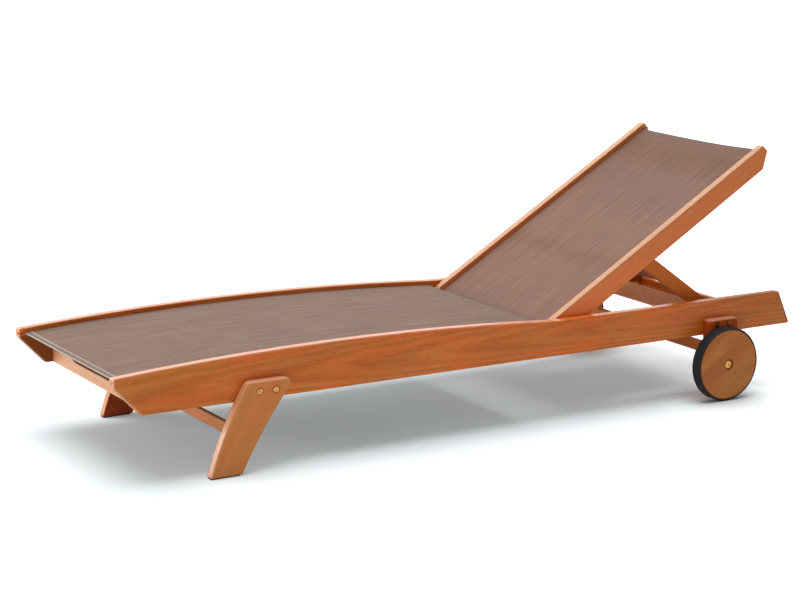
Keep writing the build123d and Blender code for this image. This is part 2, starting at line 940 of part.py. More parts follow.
hinge_bush = insert_ring(
    hinge_radius + run_gap + bush_wall, hinge_radius + run_gap, 0, 0, -stile_out, -stile_in
)
save(pair(on_back(hinge_bush)), "hinge_bushes")
save(pair(on_back(prop_bolt())), "prop_pivot_bolts")
pivot_sleeve = insert_ring(
    axle_radius - 0.1,
    bolt_radius + joint_gap,
    prop_s,
    prop_p,
    -stile_in - insert_deep,
    -stile_in,
)
save(pair(on_back(pivot_sleeve)), "prop_pivot_inserts")
pivot_washer = insert_ring(
    bolt_head_radius + 2,
    bolt_radius + 1.0 + joint_gap,
    prop_s,
    prop_p,
    -stile_in,
    -stile_in + prop_gap - 0.5,
)
save(pair(on_back(pivot_washer)), "prop_pivot_washers")

# prop
arm_left = on_prop(prop_arm())
save(arm_left, "prop_arm_left")
save(other(arm_left), "prop_arm_right")
save(on_prop(foot_board()), "prop_foot_board")
save(on_prop(foot_rod()), "prop_foot_rod")

# wheels
for side in ("left", "right"):
    bush = insert_ring(
        axle_radius + run_gap + bush_wall,
        axle_radius + run_gap,
        axle_x,
        axle_z,
        -wheel_out + hub_recess,
        -wheel_in,
    )
    pieces = {"wheel_disc_": wheel_disc(), "tyre_": tyre(), "wheel_bush_": bush}
    for name, piece in pieces.items():
        save(piece if side == "left" else other(piece), name + side)
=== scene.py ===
import json
import math
import bpy
import bmesh
from mathutils import Matrix, Vector

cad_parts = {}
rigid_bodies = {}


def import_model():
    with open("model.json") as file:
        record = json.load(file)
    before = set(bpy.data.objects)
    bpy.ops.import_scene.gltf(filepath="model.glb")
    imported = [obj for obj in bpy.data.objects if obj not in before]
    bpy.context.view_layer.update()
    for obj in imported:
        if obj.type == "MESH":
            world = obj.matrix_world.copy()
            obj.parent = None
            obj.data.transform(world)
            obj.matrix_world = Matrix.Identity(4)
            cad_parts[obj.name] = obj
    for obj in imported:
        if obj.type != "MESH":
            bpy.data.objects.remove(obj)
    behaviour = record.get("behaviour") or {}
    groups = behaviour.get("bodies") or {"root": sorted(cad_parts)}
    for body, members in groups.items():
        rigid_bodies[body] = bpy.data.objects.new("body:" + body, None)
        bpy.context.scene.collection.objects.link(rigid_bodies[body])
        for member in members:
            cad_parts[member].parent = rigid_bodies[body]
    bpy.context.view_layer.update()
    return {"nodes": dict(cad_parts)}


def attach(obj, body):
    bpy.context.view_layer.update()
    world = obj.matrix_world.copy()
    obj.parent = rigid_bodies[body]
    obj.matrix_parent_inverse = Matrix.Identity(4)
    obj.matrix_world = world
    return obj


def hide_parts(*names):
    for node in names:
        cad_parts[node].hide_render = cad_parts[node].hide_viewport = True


for spare in list(bpy.data.objects):
    bpy.data.objects.remove(spare)

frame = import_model()
nodes = frame["nodes"]
print("frame loaded,", len(nodes), "nodes")

scene = bpy.context.scene
scene.view_settings.view_transform = "Standard"


# camera, found by fitting the rails, legs and wheel to the photograph
cameraSet = {
    "place": (-2.89582, -4.68163, 1.49239),
    "pitch": 12.36,     # degrees down
    "turn": -31.19,     # degrees from the side view
    "roll": 0.39,
    "lens": 97.17,
    "sensor": 36.0,
}


def makeCamera(values):
    turn, pitch, roll = (math.radians(values[k]) for k in ("turn", "pitch", "roll"))
    back = Vector((math.sin(turn) * math.cos(pitch), -math.cos(turn) * math.cos(pitch), math.sin(pitch)))
    right = Vector((math.cos(turn), math.sin(turn), 0.0))
    up = back.cross(right)
    rightRolled = right * math.cos(roll) + up * math.sin(roll)
    upRolled = up * math.cos(roll) - right * math.sin(roll)
    lensData = bpy.data.cameras.new("photoCamera")
    lensData.lens = values["lens"]
    lensData.sensor_width = values["sensor"]
    lensData.sensor_fit = "HORIZONTAL"
    lensData.clip_end = 200.0
    holder = bpy.data.objects.new("photoCamera", lensData)
    axes = Matrix((rightRolled, upRolled, back)).transposed().to_4x4()
    holder.matrix_world = Matrix.Translation(values["place"]) @ axes
    scene.collection.objects.link(holder)
    scene.camera = holder


makeCamera(cameraSet)
print("camera set")


def join(tree, socket, value):
    # a socket takes either a link or a plain value
    if isinstance(value, bpy.types.NodeSocket):
        tree.links.new(value, socket)
    else:
        socket.default_value = value


# small wiring helpers for the node trees
class Wires:
    def __init__(self, tree):
        self.tree = tree

    def add(self, kind, sockets=None, **settings):
        node = self.tree.nodes.new(kind)
        for key, value in settings.items():
            setattr(node, key, value)
        for key, value in (sockets or {}).items():
            join(self.tree, node.inputs[key], value)
        return node

    def math(self, operation, first, second=0.0, third=0.0):
        node = self.add("ShaderNodeMath", {0: first, 1: second, 2: third}, operation=operation)
        return node.outputs[0]

    def turned(self, source, place=(0, 0, 0), degrees=(0, 0, 0), scale=(1, 1, 1)):
        angles = tuple(math.radians(d) for d in degrees)
        node = self.add("ShaderNodeMapping", {"Vector": source, "Location": place,
                                              "Rotation": angles, "Scale": scale})
        return node.outputs[0]

    def noise(self, source, scale=1.0, detail=2.0, rough=0.5, distortion=0.0):
        node = self.add("ShaderNodeTexNoise", {"Vector": source, "Scale": scale, "Detail": detail,
                                               "Roughness": rough, "Distortion": distortion})
        return node.outputs[0]

    def ramp(self, source, stops):
        node = self.add("ShaderNodeValToRGB", {0: source})
        bar = node.color_ramp
        while len(bar.elements) < len(stops):
            bar.elements.new(0.5)
        for element, (position, colour) in zip(bar.elements, stops):
            element.position = position
            element.color = (*colour, 1.0)
        return node.outputs[0]

    def span(self, source, low, high, toLow, toHigh):
        node = self.add("ShaderNodeMapRange", {0: source, 1: low, 2: high, 3: toLow, 4: toHigh})
        return node.outputs[0]

    def mixed(self, share, first, second, blend="MIX"):
        node = self.add("ShaderNodeMix", {0: share, 6: first, 7: second}, data_type="RGBA", blend_type=blend)
        return node.outputs[2]

    def bump(self, height, strength, distance):
        node = self.add("ShaderNodeBump", {"Height": height, "Strength": strength, "Distance": distance})
        return node.outputs[0]


def newFinish(name):
    finish = bpy.data.materials.new(name)
    finish.use_nodes = True
    finish.node_tree.nodes.clear()
    wires = Wires(finish.node_tree)
    shader = wires.add("ShaderNodeBsdfPrincipled")
    out = wires.add("ShaderNodeOutputMaterial")
    finish.node_tree.links.new(shader.outputs[0], out.inputs[0])
    return finish, wires, shader


def feed(wires, shader, **sockets):
    for key, value in sockets.items():
        join(wires.tree, shader.inputs[key.replace("_", " ")], value)


def waveScale(pitch):
    # a wave texture of scale 1 repeats every 2 pi / 20
    return 2 * math.pi / (20 * pitch)


# oiled teak: growth rings cut by each board's own direction, fibre streaks and open pores
teakSet = {
    "dark": (0.38, 0.076, 0.005),
    "middle": (0.61, 0.148, 0.013),
    "light": (0.74, 0.250, 0.056),
    "golden": (0.56, 0.200, 0.032),
    "flame": (0.72, 0.160, 0.024),
    # red: laid on as painted shade, on the legs' inner faces, the brackets and the far prop arm
    "red": (0.40, 0.060, 0.004),
    # pale: a paler tone for some boards and plugs, and painted light on lit faces
    "pale": (0.84, 0.50, 0.32),
    "tan": (0.86, 0.46, 0.23),
    # ember: the bright tone laid on the prop foot board as painted light
    "ember": (0.99, 0.42, 0.18),
    # painted light for lit top faces
    "topLight": (0.41, 0.205, 0.065),
    # deep: the wheel's darker tone, and painted shade on the rails' inner faces
    "deep": (0.17, 0.033, 0.010),
    # painted shade for the rails' raked head ends
    "endShade": (0.10, 0.040, 0.012),
    "pore": (0.16, 0.036, 0.008),
    "ringPitch": 0.009,
    "fibrePerMetre": (5.0, 210.0, 210.0),
    "porePerMetre": (46.0, 700.0, 700.0),
    "blotchPerMetre": (3.2, 20.0, 20.0),
    "driftPerMetre": (4.5, 17.0, 17.0),
    "ringWander": 3.2,
    "figureBase": 0.26,
    "fibreShare": 0.70,
    "blotchShare": 0.50,
    "stops": {"dark": 0.12, "middle": 0.5, "light": 0.86},
    "flameDrift": (0.50, 0.34),
    "goldDrift": (0.44, 0.68),
    "goldShare": 0.6,
    "poreSpan": (0.60, 0.72),
    "poreShare": 0.6,
    "skinEdge": (0.005, 0.002),     # a skin fades in between these depths
    "rough": (0.20, 0.32),
    "bump": (0.25, 0.0004),
    "gloss": 0.25,
}


def makeTeak(name, degrees, pith=(0.0, 0.055, 0.03), tone=0.0, tilt=1.2, gold=0.0, grain=1.0, rings=0.12,
             stretch=0.22, dull=0.0, flame=0.6, added=(), wash=(), skins=()):
    finish, wires, shader = newFinish(name)
    place = wires.add("ShaderNodeTexCoord").outputs["Object"]
    board = wires.turned(place, degrees=degrees)
    trunk = wires.turned(board, place=pith, degrees=(0, tilt * 0.4, tilt), scale=(stretch, 1.0, 1.0))
    growth = wires.add("ShaderNodeTexWave",
                       {"Vector": trunk, "Scale": waveScale(teakSet["ringPitch"]),
                        "Distortion": teakSet["ringWander"], "Detail": 2.0,
                        "Detail Scale": 0.45, "Detail Roughness": 0.6},
                       wave_type="RINGS", rings_direction="X").outputs[1]

    def streaks(key, detail, rough, spot=pith, distortion=0.0):
        return wires.noise(wires.turned(board, place=spot, scale=teakSet[key]), 1.0, detail, rough, distortion)

    fibre = streaks("fibrePerMetre", 4.0, 0.62)
    blotch = streaks("blotchPerMetre", 2.0, 0.5)
    pores = streaks("porePerMetre", 2.0, 0.55)
    drift = streaks("driftPerMetre", 3.0, 0.6, pith[::-1], 0.6)
    figure = wires.math("MULTIPLY_ADD", growth, rings, teakSet["figureBase"] - rings / 2 + tone)
    streaky = wires.math("SUBTRACT", fibre, 0.5)
    figure = wires.math("MULTIPLY_ADD", streaky, teakSet["fibreShare"] * grain, figure)
    figure = wires.math("MULTIPLY_ADD", blotch, teakSet["blotchShare"], figure)
    colour = wires.ramp(figure, [(spot, teakSet[key]) for key, spot in teakSet["stops"].items()])
    reddened = wires.span(drift, *teakSet["flameDrift"], 0.0, flame)
    colour = wires.mixed(reddened, colour, (*teakSet["flame"], 1.0))
    gilded = wires.span(drift, *teakSet["goldDrift"], gold, teakSet["goldShare"] + gold)
    colour = wires.mixed(gilded, colour, (*teakSet["golden"], 1.0))
    for key, share in added:
        colour = wires.mixed(share, colour, (*teakSet[key], 1.0))
    if wash:
        along = wires.add("ShaderNodeSeparateXYZ", {0: place}).outputs[0]
        washed = wires.ramp(wires.span(along, -1.0, 1.0, 0.0, 1.0), wash)
        colour = wires.mixed(1.0, colour, washed, "MULTIPLY")
    deeper, shallower = teakSet["skinEdge"]
    # painted light and shade: each skin lays its colour over the faces out past its limits
    for key, share, *limits in skins:
        skin = share
        for kind, spot, reach in limits:
            # out along a direction, or out from a centre in the side view
            source = place if kind == "DOT_PRODUCT" else wires.turned(place, scale=(1.0, 0.0, 1.0))
            depth = wires.add("ShaderNodeVectorMath", {0: source, 1: spot}, operation=kind).outputs["Value"]
            skin = wires.math("MULTIPLY", wires.span(depth, reach - deeper, reach - shallower, 0.0, 1.0), skin)
        colour = wires.mixed(skin, colour, (*teakSet[key], 1.0))
    openPores = wires.span(pores, *teakSet["poreSpan"], 0.0, teakSet["poreShare"] * grain)
    colour = wires.mixed(openPores, colour, (*teakSet["pore"], 1.0))
    rough = wires.span(fibre, 0.3, 0.7, *(level + dull for level in teakSet["rough"]))
    height = wires.math("SUBTRACT", wires.math("MULTIPLY", fibre, 0.6), openPores)
    strength, distance = teakSet["bump"]
    feed(wires, shader, Base_Color=colour, Roughness=rough, Specular_IOR_Level=teakSet["gloss"] - 0.5 * dull,
         Normal=wires.bump(height, strength * grain, distance))
    return finish


alongRail = (0, 0, 0)
acrossFrame = (0, 0, -90)
# painted light and shade on chosen faces: a paler skin stands in for light falling on a face, a darker one for
# shade there; colour, share, then the limits of that skin
# painted shade: the rails' raked head end darkened, as if facing away from the light
tailEndShade = ("endShade", 0.8, ("DOT_PRODUCT", (0.919, 0.0, 0.3946), 0.9873))
# painted light: the stiles' top faces made paler, as if lit from above
stileTopLight = ("topLight", 0.7, ("DOT_PRODUCT", (-0.512, 0.0, 0.859), 0.1046))
# painted light: the rails' nose end and raked nose face made paler, as if lit from the foot end
noseEndLight = ("pale", 0.40, ("DOT_PRODUCT", (-1.0, 0.0, 0.0), 1.0))
noseRakeLight = ("pale", 0.30, ("DOT_PRODUCT", (-0.7222, 0.0, -0.6917), 0.5534))
# painted highlight: the rails' crowned top face made paler from the foot end to x = 0.2 m
crownTop = ("pale", 0.22, ("DISTANCE", (-0.400, 0.0, -7.9038), 8.1928),
            ("DOT_PRODUCT", (-1.0, 0.0, 0.0), -0.198))
# painted light: the legs' curved front face and their top face made paler, as if lit
legFrontLight = ("pale", 0.30, ("DISTANCE", (0.1846, 0.0, -0.2947), 1.0000))
legTopLight = ("pale", 0.55, ("DOT_PRODUCT", (0.0, 0.0, 1.0), 0.223))
# painted shade: the legs' inner faces darkened to a deep red
legInsideShade = ("red", 0.92, ("DOT_PRODUCT", (0.0, 1.0, 0.0), -0.3015),
             ("DOT_PRODUCT", (0.0, -1.0, 0.0), -0.3015))
# painted light: the brackets' top face made paler, as if lit from above
bracketTopLight = ("pale", 0.45, ("DOT_PRODUCT", (0.0, 0.0, 1.0), 0.2165))
# painted shade: the rails' inner faces below the cloth darkened
railInsideShade = ("deep", 0.70, ("DOT_PRODUCT", (0.0, 1.0, 0.0), -0.277),
              ("DOT_PRODUCT", (0.0, -1.0, 0.0), -0.277), ("DOT_PRODUCT", (0.0, 0.0, -1.0), -0.246))
# tints along the lounger, from foot (0) to head (1): the rail runs from golden through red to brown; these
# tints are partly the wood's tone and partly painted light and shade, and the darkening at the head end is
# painted shade
railWash = [(0.10, (1.0, 0.93, 0.82)), (0.40, (1.06, 0.96, 1.03)),
            (0.72, (1.06, 0.90, 0.86)), (0.97, (0.84, 0.83, 0.77))]
stileWash = [(0.62, (1.12, 0.97, 0.98)), (0.94, (1.0, 0.95, 0.92))]
teaks = {
    "rail": makeTeak("teakRail", alongRail, (0.0, 0.243, -0.228), 0.02, 8.0, rings=0.26, flame=0.85,
                     wash=railWash, skins=[tailEndShade, railInsideShade, noseEndLight, noseRakeLight, crownTop]),
    "cross": makeTeak("teakCross", acrossFrame, (0.0, 0.03, -0.17), 0.02),
    # painted shade: the front stretcher made darker and greyer for the shade it stands in
    "stretcher": makeTeak("teakStretcher", acrossFrame, (0.3, 0.62, -0.05), -0.22, dull=0.2,
                          added=[("tan", 0.3)]),
    "rearStretcher": makeTeak("teakRearStretcher", acrossFrame, (0.3, 0.62, -0.05), -0.10, dull=0.2,
                              added=[("golden", 0.3)]),
    "leg": makeTeak("teakLeg", (0, 62.5, 0), (0.2, 0.09, -0.62), 0.06, 2.0, 0.05, grain=0.4,
                    added=[("pale", 0.06)], skins=[legFrontLight, legTopLight, legInsideShade]),
    # painted shade: the brackets darkened to a deep red for the shade beside the wheels
    "bracket": makeTeak("teakBracket", (0, 90, 0), (0.1, 0.05, 0.70), -0.24, 2.0, grain=0.35, dull=0.42,
                        added=[("red", 0.8)], skins=[bracketTopLight]),
    # painted light: the foot rail made paler, as if lit from the foot end
    "foot": makeTeak("teakFoot", acrossFrame, (0.4, 0.07, -0.15), 0.14, 1.2, 0.2, grain=0.5,
                     added=[("pale", 0.5)]),
    "stile": makeTeak("teakStile", (0, 30.8, 0), (0.1, 0.02, 0.02), 0.04, 0.8,
                      added=[("flame", 0.6), ("pale", 0.07)], wash=stileWash, skins=[stileTopLight]),
    "prop": makeTeak("teakProp", (0, -35.2, 0), (0.2, 0.04, -0.65), -0.03, dull=0.25,
                     added=[("flame", 0.35)]),
    # painted shade: a darker, redder copy of the prop's teak for the far prop arm
    "propFarShade": makeTeak("teakPropFarShade", (0, -35.2, 0), (0.3, 0.05, -0.62), -0.14, dull=0.25,
                        added=[("red", 0.45)]),
    "rack": makeTeak("teakRack", alongRail, (0.5, 0.06, -0.1), -0.04),
    "wheel": makeTeak("teakWheel", (0, 32, 0), (-0.3845, 0.082, 0.4396), -0.62, 55.0, 0.42, grain=0.6,
                      rings=0.46, stretch=0.45, flame=0.0, added=[("deep", 0.13)]),
    # painted light: the prop foot board made a bright ember tan, though it sits in the backrest's shade
    "board": makeTeak("teakBoard", acrossFrame, (0.2, 0.05, -0.12), 0.15, dull=0.35,
                      added=[("ember", 0.9)]),
    "plug": makeTeak("teakPlug", (90, 0, 90), (0.0, 0.02, 0.02), 0.0, 1.2, 0.3, dull=0.2),
    "stilePlug": makeTeak("teakStilePlug", (90, 0, 90), (0.0, 0.02, 0.02), 0.1, 1.2, 0.5, dull=0.2,
                          added=[("pale", 0.30)]),
}


# brass bolt heads, mottled from brown to bright brass, with fine scratches in their roughness and bump
brassSet = {
    "stops": [(0.30, (0.54, 0.22, 0.050)), (0.50, (0.84, 0.42, 0.12)), (0.72, (0.94, 0.58, 0.22))],
    "cloudPerMetre": 160.0,
    "scratchPerMetre": (900.0, 120.0, 900.0),
    "rough": (0.24, 0.42),
    "bump": (0.08, 0.0002),
    # painted shade: a darker, browner tint for the bracket bolts beside the tyre
    "boltShadeTint": (0.34, 0.16, 0.10),
}


def makeBrass(name, shade=(1.0, 1.0, 1.0)):
    finish, wires, shader = newFinish(name)
    place = wires.add("ShaderNodeTexCoord").outputs["Object"]
    cloud = wires.noise(place, brassSet["cloudPerMetre"], 3.0, 0.6)
    scratch = wires.noise(wires.turned(place, scale=brassSet["scratchPerMetre"]), 1.0, 2.0, 0.6)
    stops = [(spot, tuple(s * c for s, c in zip(shade, tint))) for spot, tint in brassSet["stops"]]
    feed(wires, shader, Base_Color=wires.ramp(cloud, stops), Metallic=1.0,
         Roughness=wires.span(scratch, 0.3, 0.7, *brassSet["rough"]),
         Normal=wires.bump(scratch, *brassSet["bump"]))
    return finish


# zinc plated steel of the hidden fittings
steelSet = {
    "stops": [(0.3, (0.34, 0.34, 0.33)), (0.7, (0.60, 0.60, 0.58))],
    "cloudPerMetre": 220.0,
    "rough": (0.28, 0.5),
}


def makeSteel():
    finish, wires, shader = newFinish("zincSteel")
    place = wires.add("ShaderNodeTexCoord").outputs["Object"]
    cloud = wires.noise(place, steelSet["cloudPerMetre"], 3.0, 0.6)
    feed(wires, shader, Base_Color=wires.ramp(cloud, steelSet["stops"]), Metallic=1.0,
         Roughness=wires.span(cloud, 0.3, 0.7, *steelSet["rough"]))
    return finish


# tyre rubber, dusty in patches
rubberSet = {
    "stops": [(0.3, (0.009, 0.008, 0.010)), (0.62, (0.015, 0.014, 0.016)), (0.8, (0.032, 0.029, 0.028))],
    "dustPerMetre": 55.0,
    "gritPerMetre": 1400.0,
    "rough": (0.52, 0.78),
    "bump": (0.2, 0.0003),
    "gloss": 0.3,
}


def makeRubber():
    finish, wires, shader = newFinish("tyreRubber")
    place = wires.add("ShaderNodeTexCoord").outputs["Object"]
    dust = wires.noise(place, rubberSet["dustPerMetre"], 4.0, 0.65)
    grit = wires.noise(place, rubberSet["gritPerMetre"], 2.0, 0.6)
    feed(wires, shader, Base_Color=wires.ramp(dust, rubberSet["stops"]), Specular_IOR_Level=rubberSet["gloss"],
         Roughness=wires.span(dust, 0.3, 0.7, *rubberSet["rough"]), Normal=wires.bump(grit, *rubberSet["bump"]))
    return finish


# black nylon of the glides and bushes
nylonSet = {
    "stops": [(0.3, (0.020, 0.020, 0.020)), (0.7, (0.036, 0.035, 0.034))],
    "grainPerMetre": 900.0,
    "rough": (0.4, 0.55),
    "bump": (0.15, 0.0002),
}


def makeNylon():
    finish, wires, shader = newFinish("blackNylon")
    place = wires.add("ShaderNodeTexCoord").outputs["Object"]
    grain = wires.noise(place, nylonSet["grainPerMetre"], 2.0, 0.6)
    feed(wires, shader, Base_Color=wires.ramp(grain, nylonSet["stops"]),
         Roughness=wires.span(grain, 0.3, 0.7, *nylonSet["rough"]), Normal=wires.bump(grain, *nylonSet["bump"]))
    return finish


brassPlate, shadedBrass = makeBrass("brassPlate"), makeBrass("shadedBrass", brassSet["boltShadeTint"])
zincSteel, tyreRubber, blackNylon = makeSteel(), makeRubber(), makeNylon()

wood = {
    "rail": ["side_rail_left", "side_rail_right"],
    "foot": ["foot_cross_rail"],
    "cross": ["seat_cross_rail", "hinge_cross_rail", "tail_cross_rail",
              "back_lower_cross_rail", "back_top_cross_rail"],
    "board": ["prop_foot_board"],
    "stretcher": ["front_stretcher"],
    "rearStretcher": ["rear_stretcher"],
    "leg": ["front_leg_left", "front_leg_right"],
    "bracket": ["wheel_bracket_left", "wheel_bracket_right"],
    "stile": ["back_stile_left", "back_stile_right"],
    "prop": ["prop_arm_left"],
    "propFarShade": ["prop_arm_right"],
    "rack": ["prop_rack_left", "prop_rack_right"],
    "wheel": ["wheel_disc_left", "wheel_disc_right"],
    "plug": ["rail_plugs"],
    "stilePlug": ["stile_plugs"],
}
fittings = {"brass_fittings": brassPlate, "steel_fittings": zincSteel,
            "tyre_rubber": tyreRubber, "nylon": blackNylon}


def dress(nodeName, finish):
    piece = nodes[nodeName]
    for held in piece.material_slots:
        held.material = finish


for kind, names in wood.items():
    for nodeName in names:
        dress(nodeName, teaks[kind])
woodNames = {n for names in wood.values() for n in names}
for nodeName, piece in nodes.items():
    if nodeName not in woodNames and piece.material_slots:
        finish = fittings.get(piece.material_slots[0].material.name.split(".")[0])
        if finish:
            dress(nodeName, finish)
# painted shade: the bracket bolts wear the darkened brass
dress("bracket_bolts", shadedBrass)
print("solids dressed")


# coated mesh cloth: two crossing yarns on the cloth's own flat map, in metres
clothSet = {
    "dark": (0.135, 0.076, 0.054),
    "light": (0.315, 0.188, 0.142),
    "barShade": (0.90, 0.82, 0.64),
    "yarnPitch": 0.0013,
    "streakPerMetre": (260.0, 5.0, 1.0),
    "broadPerMetre": (60.0, 4.0, 1.0),
    "crossPerMetre": (5.0, 170.0, 1.0),
    "cloudPerMetre": 6.0,
    "tintBase": 0.24,
    "weaveShare": 0.30,
    "fadeFrom": 0.55,           # share of the length
    "barEdge": (0.3, 1.5),      # shares of a bar's half width, full and gone
    "hemEdge": 0.001,
    "rough": (0.85, 0.70),
    "bump": (0.35, 0.0004),
    "gloss": 0.2,
}


def makeCloth(name, long, values):
    finish, wires, shader = newFinish(name)
    flat = wires.add("ShaderNodeUVMap", uv_map="flatCloth").outputs[0]
    down = wires.add("ShaderNodeSeparateXYZ", {0: flat}).outputs[1]
    yarns = {"Vector": flat, "Scale": waveScale(clothSet["yarnPitch"])}
    warp = wires.add("ShaderNodeTexWave", yarns, bands_direction="X").outputs[1]
    weft = wires.add("ShaderNodeTexWave", yarns, bands_direction="Y").outputs[1]
    streak = wires.noise(wires.turned(flat, scale=clothSet["streakPerMetre"]), 1.0, 3.0, 0.6)
    broad = wires.noise(wires.turned(flat, scale=clothSet["broadPerMetre"]), 1.0, 2.0, 0.6)
    cross = wires.noise(wires.turned(flat, scale=clothSet["crossPerMetre"]), 1.0, 2.0, 0.5)
    cloud = wires.noise(flat, clothSet["cloudPerMetre"], 2.0, 0.5)
    weave = wires.math("MAXIMUM", warp, weft)
    fade = wires.span(down, clothSet["fadeFrom"] * long, long, 0.0, values["fade"])
    tint = wires.math("ADD", fade, clothSet["tintBase"] + values["tone"])
    tint = wires.math("MULTIPLY_ADD", weave, clothSet["weaveShare"], tint)
    for wave, share in zip((streak, broad, cross, cloud), values["yarnShow"]):
        tint = wires.math("MULTIPLY_ADD", wires.math("SUBTRACT", wave, 0.5), share, tint)
    ends = [tuple(c * w for c, w in zip(clothSet[key], values["warmth"])) for key in ("dark", "light")]
    colour = wires.ramp(tint, list(zip((0.0, 1.0), ends)))
    full, gone = clothSet["barEdge"]
    # painted shade of the cross rails behind the mesh, as darker bands across the cloth
    for middle, half, share in values["barsBehind"]:
        away = wires.math("ABSOLUTE", wires.math("SUBTRACT", down, middle))
        shown = wires.span(away, full * half, gone * half, share, 0.0)
        colour = wires.mixed(shown, colour, (*clothSet["barShade"], 1.0), "MULTIPLY")
    # darker bands at both hems, tinted with hemShade; on the back this paints the shade of the folded top hem
    edge, soft = values["hemDeep"] + values["hemBand"], clothSet["hemEdge"]
    band = wires.math("MAXIMUM", wires.span(down, edge, edge + soft, values["hemTone"], 0.0),
                      wires.span(down, long - edge - soft, long - edge, 0.0, values["hemTone"]))
    colour = wires.mixed(band, colour, (*values["hemShade"], 1.0))
    feed(wires, shader, Base_Color=colour, Specular_IOR_Level=clothSet["gloss"],
         Roughness=wires.span(weave, 0.0, 1.0, *clothSet["rough"]), Normal=wires.bump(weave, *clothSet["bump"]))
    return finish


# sewing thread and piping cord, in several shades
threadSet = {
    "stops": [(0.3, (0.80, 0.73, 0.66)), (0.7, (1.0, 0.95, 0.88))],
    "twistPerMetre": (900.0, 500.0, 900.0),
    "rough": (0.5, 0.7),
    "bump": (0.2, 0.0002),
}


def makeThread(name, shade):
    finish, wires, shader = newFinish(name)
    place = wires.add("ShaderNodeTexCoord").outputs["Object"]
    twist = wires.noise(wires.turned(place, scale=threadSet["twistPerMetre"]), 1.0, 2.0, 0.6)
    stops = [(spot, tuple(shade * c for c in tint)) for spot, tint in threadSet["stops"]]
    feed(wires, shader, Base_Color=wires.ramp(twist, stops),
         Roughness=wires.span(twist, 0.3, 0.7, *threadSet["rough"]),
         Normal=wires.bump(twist, *threadSet["bump"]))
    return finish


paleThread, greyCord = makeThread("paleThread", 0.70), makeThread("greyCord", 0.42)
duskThread, brownThread = makeThread("duskThread", 0.24), makeThread("brownThread", 0.22)


def crownHeight(x):
    radius = seatSet["crownRadius"]
    return seatSet["crownTop"] - radius + math.sqrt(radius ** 2 - (x - seatSet["crownX"]) ** 2)


seatSet = {
    "crownX": -0.400, "crownTop": 0.289, "crownRadius": 8.1928,
    "drop": 0.0125,           # middle of the cloth below the rail's top
    "front": -0.983, "rear": 0.194,
    "halfSpan": 0.2832, "sagEnd": 0.0005, "sagMiddle": 0.0024,
    "thick": 0.0013, "hemDeep": 0.026, "foldHigh": 0.0030,
    "across": 64, "along": 150,
    "yarnShow": (1.6, 0.5, 0.42, 0.25),     # streaks, broad streaks, cross streaks, clouds
    "warmth": (1.01, 1.01, 0.965), "tone": -0.02, "fade": 0.0,
    "hemBand": 0.0145, "hemTone": 0.65, "hemShade": (0.190, 0.140, 0.106),
    "barsBehind": (),
}
backSet = {
    "hinge": (0.248, 0.237), "lean": 30.8,
    "level": 0.0155,
    "front": -0.022, "rear": 0.774,
    "halfSpan": 0.2552, "sagEnd": 0.0025, "sagMiddle": 0.0040,
    "thick": 0.0013, "hemDeep": 0.026, "foldHigh": 0.0030,
    "across": 60, "along": 110,
    "yarnShow": (1.15, 0.20, 0.26, 0.25),
    "warmth": (1.12, 1.0, 0.98), "tone": -0.01, "fade": -0.22,
    # painted shade: a dark band along the back's folded top hem
    "hemBand": 0.0045, "hemTone": 0.85, "hemShade": (0.088, 0.078, 0.062),
    # painted shade of the cross rails behind the mesh: middle, half width, share
    "barsBehind": ((0.299, 0.030, 0.62), (0.738, 0.052, 0.76)),
    "cornerPull": 0.009,      # left top corner drawn further up than the rest of that hem
}


def sagAt(values, run, side):
    # tight at both hems, hanging a little more between them
    share = min(max((run - values["front"]) / (values["rear"] - values["front"]), 0.0), 1.0)
    deep = values["sagEnd"] + (values["sagMiddle"] - values["sagEnd"]) * math.sin(math.pi * share)
    return deep * (1 - (side / values["halfSpan"]) ** 2)


def seatPoint(run, side, lift):
    x = run
    sag = sagAt(seatSet, run, side)
    slope = -(x - seatSet["crownX"]) / seatSet["crownRadius"]
    return Vector((x - slope * lift, side, crownHeight(x) - seatSet["drop"] - sag + lift))


def backPoint(run, side, lift):
    lean = math.radians(backSet["lean"])
    share = max(run - backSet["front"], 0.0) / (backSet["rear"] - backSet["front"])
    run += backSet["cornerPull"] * share ** 8 * max(-side / backSet["halfSpan"], 0.0) ** 2
    rise = backSet["level"] - sagAt(backSet, run, side) + lift
    x, z = backSet["hinge"]
    return Vector((x + run * math.cos(lean) - rise * math.sin(lean), side,
                   z + run * math.sin(lean) + rise * math.cos(lean)))


foldSteps = 6


def hemPath(values):
    # the cloth's run along its length: (run, lift), with each end folded under in a small loop
    fold = values["foldHigh"] / 2
    front, rear, deep = values["front"], values["rear"], values["hemDeep"]
    path = [(front + deep - deep * k / foldSteps, -2 * fold) for k in range(foldSteps)]
    for k in range(foldSteps + 1):
        angle = math.pi * k / foldSteps
        path.append((front + fold - fold * math.sin(angle), -fold - fold * math.cos(angle)))
    body = values["along"]
    path += [(front + fold + (rear - front - 2 * fold) * k / body, 0.0) for k in range(1, body)]
    for k in range(foldSteps + 1):
        angle = math.pi * k / foldSteps
        path.append((rear - fold + fold * math.sin(angle), -fold + fold * math.cos(angle)))
    path += [(rear - deep * k / foldSteps, -2 * fold) for k in range(1, foldSteps + 1)]
    return path


